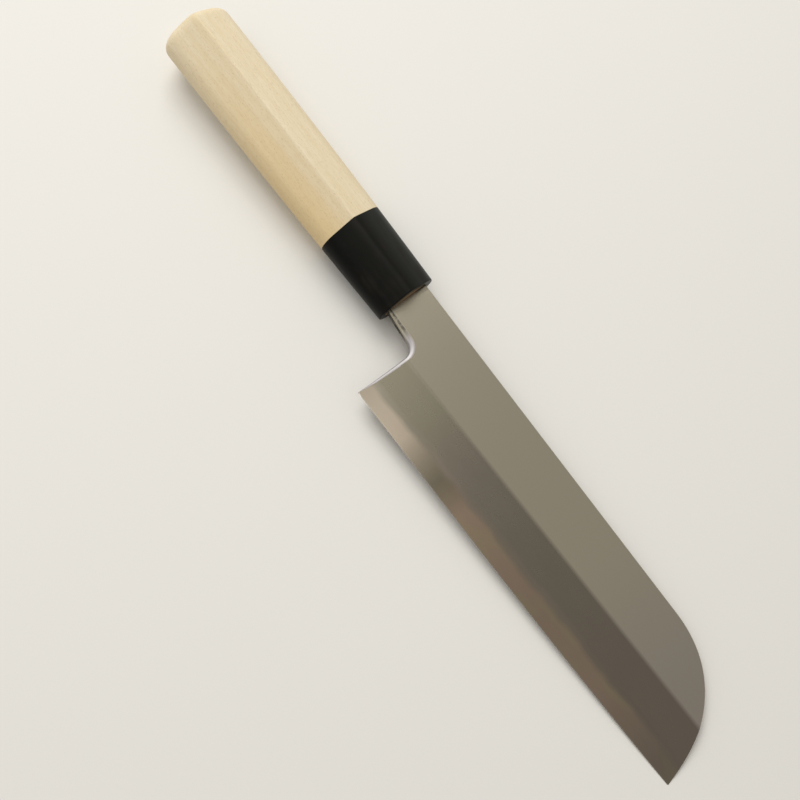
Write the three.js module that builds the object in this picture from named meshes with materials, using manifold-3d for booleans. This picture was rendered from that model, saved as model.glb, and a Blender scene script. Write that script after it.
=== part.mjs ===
// A right-handed usuba: a single-bevel vegetable knife with a sickle tip, a D-shaped wooden grip
// and a horn ferrule. Millimetres. X runs from the butt to the tip, Y from the edge to the spine and
// Z up out of the bevelled face. Sizes are laid out from the middle of the ferrule's mouth. The whole
// knife is then set down with its lowest point on Z = 0 and its box centred on X and Y.

import * as THREE from 'three';
import { mergeVertices } from 'three/addons/utils/BufferGeometryUtils.js';
import Module from 'manifold-3d';

const wasm = await Module();
wasm.setup();

// Blade outline
const EDGE_LENGTH = 180; // heel to tip
const HEEL_DROP = 36.2; // heel corner below the handle's axis
const EDGE_STRAIGHT = 62; // straight run of the edge, from the heel
const TIP_RISE = 1.8; // tip above the heel
const TIP_RADIUS = 0.8; // reach of the rounding of the point, over twice the easing
const SPINE_RISE = 8.85; // spine above the handle's axis, at the mouth
const SPINE_FALL = 1.95; // fall of the spine from the mouth to the sickle curve
const SICKLE_LENGTH = 44.8; // length of the sickle curve, back from the tip
const SICKLE_TOP_PULL = 27; // reach of the curve's tangent at the spine
const SICKLE_TIP_PULL = 22.5; // reach of its tangent at the tip
const SICKLE_TIP_LEAN = THREE.MathUtils.degToRad(13.5); // lean of that tangent from upright

// Blade section
const BLADE_THICKNESS = 4.2;
const BEVEL_WIDTH = 21.2; // heel corner up to the ridge line of the bevel
const EDGE_STEEL_THICKNESS = 1.4; // hard steel layer welded to the back
const EDGE_SET = 0.25; // the bevel passes this far below the edge, which gives the edge its thickness
const EASED_EDGE = 0.3; // rounding of the spine, choil and neck
const HOLLOW_RIM = 2.5; // flat rim round the hollow of the back
const HOLLOW_WHEEL_RADIUS = 420; // radius of the wheel that grinds the hollow
const HOLLOW_RUN_IN = 16; // length over which the hollow deepens from the heel

// Neck and tang
const NECK_LENGTH = 17.2; // ferrule's mouth to the heel
const NECK_DROP = 8.85; // lower edge of the neck below the axis, at the mouth
const NECK_FLARE = 1.5; // further drop of that edge towards the choil
const CHOIL_RADIUS = 4.7;
const CHOIL_BOW = 0.6; // the choil stands this far ahead of the heel corner
const WELD_START = 9; // the edge steel begins this far ahead of the mouth
const TAPER_START = 3; // the tang begins to thin this far ahead of the mouth
const TANG_LENGTH = 88; // inside the handle
const TANG_END_HEIGHT = 7;
const TANG_END_THICKNESS = 2.4;

// Handle
const HANDLE_LENGTH = 134.5; // mouth of the ferrule to the butt
const FERRULE_LENGTH = 34.5;
const MOUTH_HEIGHT = 26; // handle's height at the ferrule's mouth
const BUTT_HEIGHT = 29.2;
const GRIP_BARREL = 0.35; // swell of each side, halfway along
const MOUTH_RIDGE = 10.9; // ridge above the axis, at the mouth
const BUTT_RIDGE = 12.4;
const MOUTH_BACK = 9.9; // rounded back below the axis, at the mouth
const BUTT_BACK = 11.2;
const FLAT_FALL = THREE.MathUtils.degToRad(30); // slope of the flats on either side of the ridge
const SIDE_ROUND = 4.4; // the flats end this far in from the sides
const WIDEST_DROP = 1.5; // widest line of the handle below the axis
const BUTT_ROUND_DEPTH = 5; // length of the butt's rounding along the handle
const BUTT_ROUND_REACH = 4; // how far it comes in from the sides
const MOUTH_ROUNDING = 0.5;

// How the handle holds the blade
const FERRULE_WALL = 2.6; // horn round the grip's tenon
const TENON_ROOT = 4; // the tenon starts this far inside the grip
const TENON_RECESS = 0.4; // its end stands this far behind the ferrule's mouth
const TENON_CLEARANCE = 0.3; // between the tenon and the ferrule's bore
const TANG_CLEARANCE = 0.3; // between the tang and the slot burnt for it
const TANG_END_ROOM = 4; // slot left empty beyond the tang

// How finely curves are divided
const OUTLINE_DIVISIONS = 24;
const SECTION_DIVISIONS = 8;
const GRIP_STATIONS = 8;
const ROUNDING_STEPS = 5;
const HOLLOW_STATIONS = 22;
const HOLLOW_ARC_STEPS = 10;
const EASING_STEPS = 2;
const MERGE_DISTANCE = 1e-5;
const CUTTER_SIZE = 600; // cutting blocks reach well past the knife

const TIP = new THREE.Vector2(NECK_LENGTH + EDGE_LENGTH, TIP_RISE - HEEL_DROP);
const HEEL = new THREE.Vector2(NECK_LENGTH, -HEEL_DROP);
const BACK_Z = -BLADE_THICKNESS / 2;
const WELD_Z = BACK_Z + EDGE_STEEL_THICKNESS;

// Solids

function toSolid(geometry) {
  geometry.deleteAttribute('normal');
  geometry.deleteAttribute('uv');
  const merged = mergeVertices(geometry, MERGE_DISTANCE);
  return new wasm.Manifold(new wasm.Mesh({
    numProp: 3,
    vertProperties: new Float32Array(merged.attributes.position.array),
    triVerts: new Uint32Array(merged.index.array),
  }));
}

function toMesh(solid, name, material) {
  const { vertProperties, triVerts } = solid.getMesh();
  const geometry = new THREE.BufferGeometry();
  geometry.setAttribute('position', new THREE.BufferAttribute(vertProperties, 3));
  geometry.setIndex(new THREE.BufferAttribute(triVerts, 1));
  geometry.computeVertexNormals();
  const mesh = new THREE.Mesh(geometry, material);
  mesh.name = name;
  return mesh;
}

// Skins a row of equal rings and caps the ends. They are ordered along +X and run clockwise as seen
// from the tip.
function loft(rings) {
  const count = rings[0].length;
  const index = [];
  for (let r = 0; r + 1 < rings.length; r += 1) {
    for (let k = 0; k < count; k += 1) {
      const next = (k + 1) % count;
      const a = r * count + k;
      const b = r * count + next;
      const c = (r + 1) * count + next;
      const d = (r + 1) * count + k;
      index.push(a, c, b, a, d, c);
    }
  }
  const last = (rings.length - 1) * count;
  for (let k = 1; k + 1 < count; k += 1) {
    index.push(0, k, k + 1);
    index.push(last, last + k + 1, last + k);
  }
  const geometry = new THREE.BufferGeometry().setFromPoints(rings.flat());
  geometry.setIndex(index);
  return toSolid(geometry);
}

// Everything on the +Z side of the plane through the origin, turned and moved by the matrix.
function halfSpace(matrix) {
  const geometry = new THREE.BoxGeometry(CUTTER_SIZE, CUTTER_SIZE, CUTTER_SIZE);
  geometry.translate(0, 0, CUTTER_SIZE / 2);
  geometry.applyMatrix4(matrix);
  return toSolid(geometry);
}

// A block between two corners.
function block(low, high) {
  const size = new THREE.Vector3().subVectors(high, low);
  const geometry = new THREE.BoxGeometry(size.x, size.y, size.z);
  geometry.translate(low.x + size.x / 2, low.y + size.y / 2, low.z + size.z / 2);
  return toSolid(geometry);
}

// Blade

function spineHeight(x) {
  const length = TIP.x - SICKLE_LENGTH;
  return SPINE_RISE - SPINE_FALL * (x / length);
}

// The sickle curve, from the tip back to the spine.
function sickleCurve() {
  const lean = new THREE.Vector2(-Math.sin(SICKLE_TIP_LEAN), Math.cos(SICKLE_TIP_LEAN));
  const start = TIP.clone().addScaledVector(lean, TIP_RADIUS);
  const topX = TIP.x - SICKLE_LENGTH;
  const end = new THREE.Vector2(topX, spineHeight(topX));
  const pull = new THREE.Vector2(topX + SICKLE_TOP_PULL, spineHeight(topX + SICKLE_TOP_PULL));
  return new THREE.CubicBezierCurve(start, TIP.clone().addScaledVector(lean, SICKLE_TIP_PULL), pull, end);
}

// The cutting edge, from the heel to the point.
function edgePath() {
  const bend = (HEEL.x + EDGE_STRAIGHT + TIP.x) / 2;
  return new THREE.Path()
    .moveTo(HEEL.x, HEEL.y)
    .lineTo(HEEL.x + EDGE_STRAIGHT, HEEL.y)
    .quadraticCurveTo(bend, HEEL.y, TIP.x - TIP_RADIUS, TIP.y);
}

function bladeOutline() {
  const outline = new THREE.Shape();
  const sickle = sickleCurve();
  const choilX = HEEL.x + CHOIL_BOW;
  const choilTop = -(NECK_DROP + NECK_FLARE);
  const tangMiddle = (SPINE_RISE - NECK_DROP) / 2;
  outline.curves.push(...edgePath().curves);
  outline.currentPoint.set(TIP.x - TIP_RADIUS, TIP.y);
  outline.quadraticCurveTo(TIP.x, TIP.y, sickle.v0.x, sickle.v0.y);
  outline.bezierCurveTo(sickle.v1.x, sickle.v1.y, sickle.v2.x, sickle.v2.y, sickle.v3.x, sickle.v3.y);
  outline.lineTo(0, SPINE_RISE);
  outline.lineTo(-TANG_LENGTH, tangMiddle + TANG_END_HEIGHT / 2);
  outline.lineTo(-TANG_LENGTH, tangMiddle - TANG_END_HEIGHT / 2);
  outline.lineTo(0, -NECK_DROP);
  outline.lineTo(choilX - CHOIL_RADIUS, choilTop);
  outline.absarc(choilX - CHOIL_RADIUS, choilTop - CHOIL_RADIUS, CHOIL_RADIUS, Math.PI / 2, 0, true);
  outline.quadraticCurveTo(choilX, (choilTop - CHOIL_RADIUS + HEEL.y) / 2, HEEL.x, HEEL.y);
  return outline;
}

// Everything in front of the bevel, whose plane runs from below the edge up to the ridge line.
function bevelCutter() {
  const slope = (TIP.y - HEEL.y) / (TIP.x - HEEL.x);
  const chord = (x) => HEEL.y + slope * (x - HEEL.x);
  const dips = edgePath().getPoints(OUTLINE_DIVISIONS).map((point) => chord(point.x) - point.y);
  const below = Math.max(...dips) + EDGE_SET;
  const tilt = Math.atan2(BLADE_THICKNESS, BEVEL_WIDTH + below);
  const place = new THREE.Matrix4().makeTranslation(HEEL.x, HEEL.y - below, BACK_Z);
  place.multiply(new THREE.Matrix4().makeRotationZ(Math.atan(slope)));
  place.multiply(new THREE.Matrix4().makeRotationX(tilt));
  return halfSpace(place);
}

// Everything outside the tang's taper, on the face or, turned over, on the back.
function taperCutter(side) {
  const fall = (BLADE_THICKNESS - TANG_END_THICKNESS) / 2;
  const tilt = Math.atan2(fall, TANG_LENGTH + TAPER_START);
  const place = new THREE.Matrix4().makeTranslation(TAPER_START, 0, (side * BLADE_THICKNESS) / 2);
  if (side < 0) {
    place.multiply(new THREE.Matrix4().makeRotationX(Math.PI));
  }
  place.multiply(new THREE.Matrix4().makeRotationY(-tilt));
  const far = CUTTER_SIZE;
  const behind = block(new THREE.Vector3(-far, -far, -far), new THREE.Vector3(TAPER_START, far, far));
  return halfSpace(place).intersect(behind);
}

// The space of the edge steel: all that lies behind the weld and ahead of where it starts in the neck.
function weldSpace() {
  const far = CUTTER_SIZE;
  return block(new THREE.Vector3(WELD_START, -far, -far), new THREE.Vector3(far, far, WELD_Z));
}

// The shallow hollow of the back, cut by one large wheel, so it is shallower where the blade narrows.
function hollowCutter() {
  const top = sickleCurve().getPoints(OUTLINE_DIVISIONS).reverse();
  const bottom = edgePath().getPoints(OUTLINE_DIVISIONS);
  const heightOn = (points, x) => {
    const k = points.findIndex((point) => point.x >= x);
    const t = (x - points[k - 1].x) / (points[k].x - points[k - 1].x);
    return THREE.MathUtils.lerp(points[k - 1].y, points[k].y, t);
  };
  const spineAt = (x) => (x <= top[0].x ? spineHeight(x) : heightOn(top, x));
  const startX = HEEL.x + CHOIL_BOW + HOLLOW_RIM;
  const endX = TIP.x - 2 * HOLLOW_RIM;
  const rings = [];
  for (let s = 0; s <= HOLLOW_STATIONS; s += 1) {
    const x = THREE.MathUtils.lerp(startX, endX, Math.sin((s / HOLLOW_STATIONS) * (Math.PI / 2)));
    const low = heightOn(bottom, x) + HOLLOW_RIM;
    const high = spineAt(x + HOLLOW_RIM) - HOLLOW_RIM;
    const half = (high - low) / 2;
    const depth = HOLLOW_WHEEL_RADIUS - Math.sqrt(HOLLOW_WHEEL_RADIUS ** 2 - half ** 2);
    const runIn = THREE.MathUtils.smoothstep(x - startX, -HOLLOW_RIM, HOLLOW_RUN_IN);
    const ring = [];
    for (let k = 0; k <= HOLLOW_ARC_STEPS; k += 1) {
      const across = -1 + (2 * k) / HOLLOW_ARC_STEPS;
      const cut = depth * runIn * (1 - across ** 2);
      ring.push(new THREE.Vector3(x, low + half * (1 + across), BACK_Z + cut));
    }
    ring.push(new THREE.Vector3(x, high, BACK_Z - EDGE_STEEL_THICKNESS));
    ring.push(new THREE.Vector3(x, low, BACK_Z - EDGE_STEEL_THICKNESS));
    rings.push(ring);
  }
  return loft(rings);
}

function softIron() {
  const eased = new THREE.ExtrudeGeometry(bladeOutline(), {
    depth: BLADE_THICKNESS - 2 * EASED_EDGE,
    bevelThickness: EASED_EDGE,
    bevelSize: EASED_EDGE,
    bevelOffset: -EASED_EDGE,
    bevelSegments: EASING_STEPS,
    curveSegments: OUTLINE_DIVISIONS,
  });
  eased.translate(0, 0, BACK_Z + EASED_EDGE);
  return toSolid(eased)
    .subtract(weldSpace())
    .subtract(bevelCutter())
    .subtract(taperCutter(1))
    .subtract(taperCutter(-1));
}

function edgeSteel() {
  const layer = new THREE.ExtrudeGeometry(bladeOutline(), {
    depth: EDGE_STEEL_THICKNESS,
    bevelEnabled: false,
    curveSegments: OUTLINE_DIVISIONS,
  });
  layer.translate(0, 0, BACK_Z);
  return toSolid(layer).intersect(weldSpace()).subtract(bevelCutter()).subtract(hollowCutter());
}

// Handle

// Half height, ridge and back of the handle at a distance behind the mouth.
function gripSizes(behind) {
  const t = behind / HANDLE_LENGTH;
  const swell = GRIP_BARREL * 4 * t * (1 - t);
  return {
    half: THREE.MathUtils.lerp(MOUTH_HEIGHT, BUTT_HEIGHT, t) / 2 + swell,
    ridge: THREE.MathUtils.lerp(MOUTH_RIDGE, BUTT_RIDGE, t) + swell,
    back: THREE.MathUtils.lerp(MOUTH_BACK, BUTT_BACK, t) + swell,
  };
}

// The D section across the handle, set in from its surface: a ridge between two flats, round sides
// and an oval back.
function gripRing(behind, inset = 0) {
  const sizes = gripSizes(behind);
  const half = sizes.half - inset;
  const ridge = sizes.ridge - inset / Math.cos(FLAT_FALL);
  const back = sizes.back - inset;
  const round = Math.max(SIDE_ROUND - inset / 2, SIDE_ROUND / 2);
  const flatAt = (y) => ridge - y * Math.tan(FLAT_FALL);
  const section = new THREE.Shape()
    .moveTo(0, ridge)
    .lineTo(half - round, flatAt(half - round))
    .quadraticCurveTo(half, flatAt(half), half, -WIDEST_DROP)
    .absellipse(0, -WIDEST_DROP, half, back - WIDEST_DROP, 0, Math.PI, true)
    .quadraticCurveTo(-half, flatAt(half), round - half, flatAt(half - round));
  return section.getPoints(SECTION_DIVISIONS).map((point) => new THREE.Vector3(-behind, point.x, point.y));
}

// Rings over the oval rounding at one end of the handle, from its flat end face to its side.
function roundedEnd(behind, depth, reach, direction) {
  const rings = [];
  for (let k = 0; k < ROUNDING_STEPS; k += 1) {
    const turn = (k / ROUNDING_STEPS) * (Math.PI / 2);
    const along = direction * depth * (1 - Math.cos(turn));
    rings.push(gripRing(behind + along, reach * (1 - Math.sin(turn))));
  }
  return rings;
}

// The tang with room all round it, from just outside the mouth to the end of its slot.
function tangSlot() {
  const middle = (SPINE_RISE - NECK_DROP) / 2;
  const ring = (x) => {
    const t = -x / TANG_LENGTH;
    const half = THREE.MathUtils.lerp(SPINE_RISE + NECK_DROP, TANG_END_HEIGHT, t) / 2 + TANG_CLEARANCE;
    const thick = BLADE_THICKNESS - (BLADE_THICKNESS - TANG_END_THICKNESS)
      * ((TAPER_START - x) / (TAPER_START + TANG_LENGTH));
    const z = thick / 2 + TANG_CLEARANCE;
    return [
      new THREE.Vector3(x, middle - half, z),
      new THREE.Vector3(x, middle + half, z),
      new THREE.Vector3(x, middle + half, -z),
      new THREE.Vector3(x, middle - half, -z),
    ];
  };
  return loft([ring(-TANG_LENGTH - TANG_END_ROOM), ring(TAPER_START)]);
}

function woodGrip() {
  const rings = roundedEnd(HANDLE_LENGTH, BUTT_ROUND_DEPTH, BUTT_ROUND_REACH, -1);
  const straight = HANDLE_LENGTH - BUTT_ROUND_DEPTH;
  for (let s = 0; s <= GRIP_STATIONS; s += 1) {
    rings.push(gripRing(THREE.MathUtils.lerp(straight, FERRULE_LENGTH, s / GRIP_STATIONS)));
  }
  const inset = FERRULE_WALL + TENON_CLEARANCE;
  const tenon = loft([
    gripRing(FERRULE_LENGTH + TENON_ROOT, inset),
    gripRing(TENON_RECESS, inset),
  ]);
  return loft(rings).add(tenon).subtract(tangSlot());
}

function hornFerrule() {
  const rings = [gripRing(FERRULE_LENGTH), gripRing(FERRULE_LENGTH / 2), gripRing(MOUTH_ROUNDING)];
  rings.push(...roundedEnd(0, MOUTH_ROUNDING, MOUTH_ROUNDING, 1).reverse());
  const bore = loft([
    gripRing(FERRULE_LENGTH + TENON_ROOT, FERRULE_WALL),
    gripRing(-TENON_ROOT, FERRULE_WALL),
  ]);
  return loft(rings).subtract(bore);
}

// Finishes

const SOFT_IRON = new THREE.MeshStandardMaterial({ color: 0x8c8573, roughness: 0.38, metalness: 1 });
const EDGE_STEEL = new THREE.MeshStandardMaterial({ color: 0x7d7062, roughness: 0.22, metalness: 1 });
const MAGNOLIA = new THREE.MeshStandardMaterial({ color: 0xdec79d, roughness: 0.62, metalness: 0 });
const HORN = new THREE.MeshStandardMaterial({ color: 0x1c1d17, roughness: 0.3, metalness: 0 });

const knife = new THREE.Group();
knife.add(toMesh(softIron(), 'soft_iron_body', SOFT_IRON));
knife.add(toMesh(edgeSteel(), 'edge_steel', EDGE_STEEL));
knife.add(toMesh(woodGrip(), 'wood_grip', MAGNOLIA));
knife.add(toMesh(hornFerrule(), 'horn_ferrule', HORN));

const box = new THREE.Box3().setFromObject(knife);
const middle = box.getCenter(new THREE.Vector3());
knife.position.set(-middle.x, -middle.y, -box.min.z);

export default knife;
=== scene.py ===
"""A right-handed usuba dressed over its CAD frame: laminated blade, magnolia grip and horn ferrule.

Lengths are millimetres, laid out from the middle of the ferrule's mouth as in the part's source.
X runs from the butt to the tip, Y from the cutting edge to the spine and Z up out of the bevelled
face. Meshes are turned into the frame's metres as they are made.
"""

import logging
import math
from dataclasses import dataclass
from enum import Enum, IntEnum
from typing import Any, NamedTuple, Sequence

import bmesh
import bpy
import numpy as np
from mathutils import Color, Matrix, Vector
from mathutils.geometry import delaunay_2d_cdt


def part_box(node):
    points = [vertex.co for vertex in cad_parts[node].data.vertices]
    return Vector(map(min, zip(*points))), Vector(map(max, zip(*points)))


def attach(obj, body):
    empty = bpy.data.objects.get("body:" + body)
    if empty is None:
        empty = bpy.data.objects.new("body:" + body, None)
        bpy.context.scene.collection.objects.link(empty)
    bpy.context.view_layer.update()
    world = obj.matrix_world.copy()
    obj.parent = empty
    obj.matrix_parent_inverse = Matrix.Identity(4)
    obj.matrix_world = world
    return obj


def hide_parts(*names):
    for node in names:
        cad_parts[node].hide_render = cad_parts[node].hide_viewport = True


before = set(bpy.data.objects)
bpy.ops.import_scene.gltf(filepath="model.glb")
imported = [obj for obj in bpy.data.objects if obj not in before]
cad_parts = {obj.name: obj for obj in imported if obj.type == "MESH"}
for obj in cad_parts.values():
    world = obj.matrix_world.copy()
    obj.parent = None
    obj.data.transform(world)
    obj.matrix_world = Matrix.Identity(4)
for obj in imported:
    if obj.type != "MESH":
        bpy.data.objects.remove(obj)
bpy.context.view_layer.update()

LOG = logging.getLogger("usuba")
MM = 0.001
BODY = "root"
NOISE_MIDDLE = 0.5

Colour = tuple[float, float, float, float]
Triple = tuple[float, float, float]
Span = tuple[float, float]
Settings = dict[str, Any]
Inputs = dict[int | str, Any]


class Node(Enum):
    """The frame's nodes, which the dressed pieces stand for."""

    IRON = "soft_iron_body"
    STEEL = "edge_steel"
    GRIP = "wood_grip"
    FERRULE = "horn_ferrule"


class Slot(Enum):
    """The record's material slots."""

    IRON = "soft_iron"
    STEEL = "edge_steel"
    WOOD = "magnolia_wood"
    HORN = "black_horn"


class Join(Enum):
    """Ways to put two closed meshes together."""

    UNION = "UNION"
    DIFFERENCE = "DIFFERENCE"


class Axis(Enum):
    """The layout's axes."""

    ALONG = "X"
    ACROSS = "Y"
    UP = "Z"


class Lay(Enum):
    """How a colour is laid on another."""

    OVER = "MIX"
    TINT = "MULTIPLY"


class Mark(Enum):
    """Numbers that the blade's meshes keep for their shaders."""

    BEVEL = "bevel"
    POLISH = "polish"
    # Where the neck's eased edge is darkened: partly scale, partly painted shade.
    SCUFF_AND_SHADE = "scuff_and_shade"
    ABOVE_WELD = "above_weld"
    ABOVE_EDGE = "above_edge"
    BACK = "back"
    HOLLOW = "hollow"
    WALL = "wall"


class Patch(IntEnum):
    """What a face of the blade is part of."""

    FACE = 0
    WELD = 1
    BACK = 2
    HOLLOW = 3
    WALL = 4


# Grams per cubic centimetre, for the balance of the knife on its floor.
DENSITY = {Node.IRON: 7.85, Node.STEEL: 7.85, Node.GRIP: 0.5, Node.FERRULE: 1.3}


def srgb(code: int) -> Colour:
    """Turns a colour written as 0xRRGGBB into linear values."""
    shares = [channel / 0xFF for channel in code.to_bytes(3, "big")]
    return (*Color(shares).from_srgb_to_scene_linear(), 1.0)


@dataclass(frozen=True)
class Layout:
    """Where the layout's origin, the middle of the ferrule's mouth, lies in the frame."""

    origin: Vector

    @classmethod
    def from_frame(cls) -> "Layout":
        """Reads the origin off the ferrule's and the blade's boxes.

        Returns:
            The layout.
        """
        horn_low, horn_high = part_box(Node.FERRULE.value)
        iron_low, iron_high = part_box(Node.IRON.value)
        middle = (horn_low + horn_high) / 2
        return cls(Vector((horn_high.x, middle.y, (iron_low.z + iron_high.z) / 2)))

    def to_frame(self, points: np.ndarray) -> np.ndarray:
        """Turns layout millimetres into frame metres."""
        return points * MM + np.array(self.origin)

    def place(self, point: Sequence[float]) -> Vector:
        """Turns one layout point into a frame vector."""
        return Vector(point) * MM + self.origin


class Graph:
    """A node tree and the one method that adds any node to it."""

    def __init__(self, tree: bpy.types.NodeTree) -> None:
        """Takes the tree that the nodes go into."""
        self.tree = tree

    def add(
        self, kind: str, settings: Settings | None = None, inputs: Inputs | None = None
    ) -> bpy.types.Node:
        """Adds a node of any type.

        Args:
            kind: the node's type.
            settings: properties, set before the sockets; "stops" are a ramp's places and colours.
            inputs: values or wires by the socket's name or number.

        Returns:
            The node.
        """
        made = self.tree.nodes.new(kind)
        for name, value in (settings or {}).items():
            if name == "stops":
                self._set_stops(made.color_ramp, value)
            else:
                setattr(made, name, value)
        for key, value in (inputs or {}).items():
            self.feed(made.inputs[key], value)
        return made

    def node(
        self,
        kind: str,
        settings: Settings | None = None,
        inputs: Inputs | None = None,
        output: int | str = 0,
    ) -> "Wire":
        """Adds a node and wraps one of its outputs, by its name or number."""
        return Wire(self, self.add(kind, settings, inputs).outputs[output])

    def feed(self, socket: bpy.types.NodeSocket, value: Any) -> None:
        """Gives a socket what it takes.

        Args:
            socket: an input of one of the tree's nodes.
            value: a wire to link to it, or a value to set on it.
        """
        if isinstance(value, Wire):
            self.tree.links.new(value.socket, socket)
        else:
            socket.default_value = value

    @staticmethod
    def _set_stops(ramp: bpy.types.ColorRamp, stops: Sequence[tuple[float, Colour]]) -> None:
        """Sets a colour ramp's stops.

        Args:
            ramp: a new ramp.
            stops: places and colours, in order.
        """
        while len(ramp.elements) < len(stops):
            ramp.elements.new(1.0)
        for element, (position, colour) in zip(ramp.elements, stops):
            element.position = position
            element.color = colour


class Wire:
    """An output socket that takes part in Python expressions."""

    def __init__(self, graph: Graph, socket: bpy.types.NodeSocket) -> None:
        """Wraps a socket of the graph."""
        self.graph = graph
        self.socket = socket

    def _math(self, operation: str, *values: Any) -> "Wire":
        """Adds a Math node."""
        return self.graph.node("ShaderNodeMath", {"operation": operation}, dict(enumerate(values)))

    def __add__(self, other: Any) -> "Wire":
        """Sum."""
        return self._math("ADD", self, other)

    def __radd__(self, other: Any) -> "Wire":
        """Sum, with the number first."""
        return self._math("ADD", other, self)

    def __sub__(self, other: Any) -> "Wire":
        """Difference."""
        return self._math("SUBTRACT", self, other)

    def __rsub__(self, other: Any) -> "Wire":
        """Difference, with the number first."""
        return self._math("SUBTRACT", other, self)

    def __mul__(self, other: Any) -> "Wire":
        """Product."""
        return self._math("MULTIPLY", self, other)

    def __rmul__(self, other: Any) -> "Wire":
        """Product, with the number first."""
        return self._math("MULTIPLY", other, self)

    def __truediv__(self, other: Any) -> "Wire":
        """Quotient."""
        return self._math("DIVIDE", self, other)

    def __rtruediv__(self, other: Any) -> "Wire":
        """Quotient, with the number first."""
        return self._math("DIVIDE", other, self)

    def __pow__(self, other: Any) -> "Wire":
        """Power."""
        return self._math("POWER", self, other)

    def root(self) -> "Wire":
        """Square root."""
        return self._math("SQRT", self)

    def sine(self) -> "Wire":
        """Sine."""
        return self._math("SINE", self)

    def cosine(self) -> "Wire":
        """Cosine."""
        return self._math("COSINE", self)

    def at_least(self, low: Any) -> "Wire":
        """The larger of this and a value."""
        return self._math("MAXIMUM", self, low)

    def at_most(self, high: Any) -> "Wire":
        """The smaller of this and a value."""
        return self._math("MINIMUM", self, high)

    def above(self, level: Any) -> "Wire":
        """1 where this is above a value, else 0."""
        return self._math("GREATER_THAN", self, level)

    def swing(self) -> "Wire":
        """Noise, which lies round its middle, as a swing about zero."""
        return self - NOISE_MIDDLE

    def blend(self, first: Any, second: Any) -> "Wire":
        """The first value where this is 0, the second where it is 1, and evenly between."""
        return first + self * (second - first)

    def rise(self, low: Any, high: Any) -> "Wire":
        """A smooth step from 0 at low to 1 at high; low may be the larger."""
        inputs = {"Value": self, "From Min": low, "From Max": high}
        return self.graph.node("ShaderNodeMapRange", {"interpolation_type": "SMOOTHSTEP"}, inputs)


class Surface(Graph):
    """The shader of one finish, which works in layout millimetres."""

    def __init__(self, name: str, layout: Layout) -> None:
        """Starts a material with its place in the layout.

        Args:
            name: the material's name.
            layout: where the layout lies in the frame.
        """
        self.material = bpy.data.materials.new(name)
        self.material.use_nodes = True
        super().__init__(self.material.node_tree)
        self.shader = self.tree.nodes["Principled BSDF"]
        coordinates = self.node("ShaderNodeTexCoord", output="Object")
        inputs = {"Vector": coordinates, "Location": -layout.origin / MM, "Scale": (1 / MM,) * 3}
        self.place = self.node("ShaderNodeMapping", {"vector_type": "POINT"}, inputs)

    def axis(self, axis: Axis) -> Wire:
        """The place along one of the layout's axes."""
        return self.node("ShaderNodeSeparateXYZ", inputs={"Vector": self.place}, output=axis.value)

    def mark(self, mark: Mark) -> Wire:
        """A number that the mesh keeps."""
        return self.node("ShaderNodeAttribute", {"attribute_name": mark.value}, output="Fac")

    def noise(self, pitch: Triple, turn: float = 0.0, detail: float = 2.0) -> Wire:
        """Noise round its middle whose grains have a size along each axis.

        Args:
            pitch: size of a grain along X, Y and Z.
            turn: angle by which the grains are turned about Z.
            detail: octaves.

        Returns:
            The noise.
        """
        turned = {"Vector": self.place, "Rotation": (0.0, 0.0, turn)}
        straight_on = self.node("ShaderNodeMapping", {"vector_type": "POINT"}, turned)
        inputs = {"Vector": straight_on, "Scale": [1 / length for length in pitch]}
        stretched = self.node("ShaderNodeMapping", {"vector_type": "POINT"}, inputs)
        grains = {"Vector": stretched, "Scale": 1.0, "Detail": detail}
        return self.node("ShaderNodeTexNoise", inputs=grains, output="Fac")

    def mix(self, share: Any, first: Any, second: Any, lay: Lay = Lay.OVER) -> Wire:
        """Mixes two colours.

        Args:
            share: how much of the second colour, from 0 to 1.
            first: colour or wire.
            second: colour or wire.
            lay: how the second colour is laid on the first.

        Returns:
            The mixed colour.
        """
        share_socket, first_socket, second_socket, colour_output = 0, 6, 7, 2
        settings = {"data_type": "RGBA", "blend_type": lay.value}
        inputs = {share_socket: share, first_socket: first, second_socket: second}
        return self.node("ShaderNodeMix", settings, inputs, colour_output)

    def shade(self, swing: Wire, ground: Wire, light: Colour, dark: Colour) -> Wire:
        """Lightens a colour where a swing is above zero and darkens it where it is below.

        Args:
            swing: share of the light colour, or below zero of the dark one.
            ground: the colour to shade.
            light: what it goes towards above zero.
            dark: what it goes towards below zero.

        Returns:
            The shaded colour.
        """
        lighter = self.mix(swing.at_least(0.0), ground, light)
        return self.mix((0.0 - swing).at_least(0.0), lighter, dark)

    def bump(self, height: Wire, depth: float) -> Wire:
        """A normal from a height of 0 to 1 that stands for a depth in millimetres."""
        inputs = {"Strength": 1.0, "Distance": depth * MM, "Height": height}
        return self.node("ShaderNodeBump", inputs=inputs)

    def finish(self, sockets: dict[str, Any]) -> bpy.types.Material:
        """Feeds the shader.

        Args:
            sockets: values or wires by the name of the shader's socket.

        Returns:
            The material.
        """
        for name, value in sockets.items():
            self.feed(self.shader.inputs[name], value)
        return self.material


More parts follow.
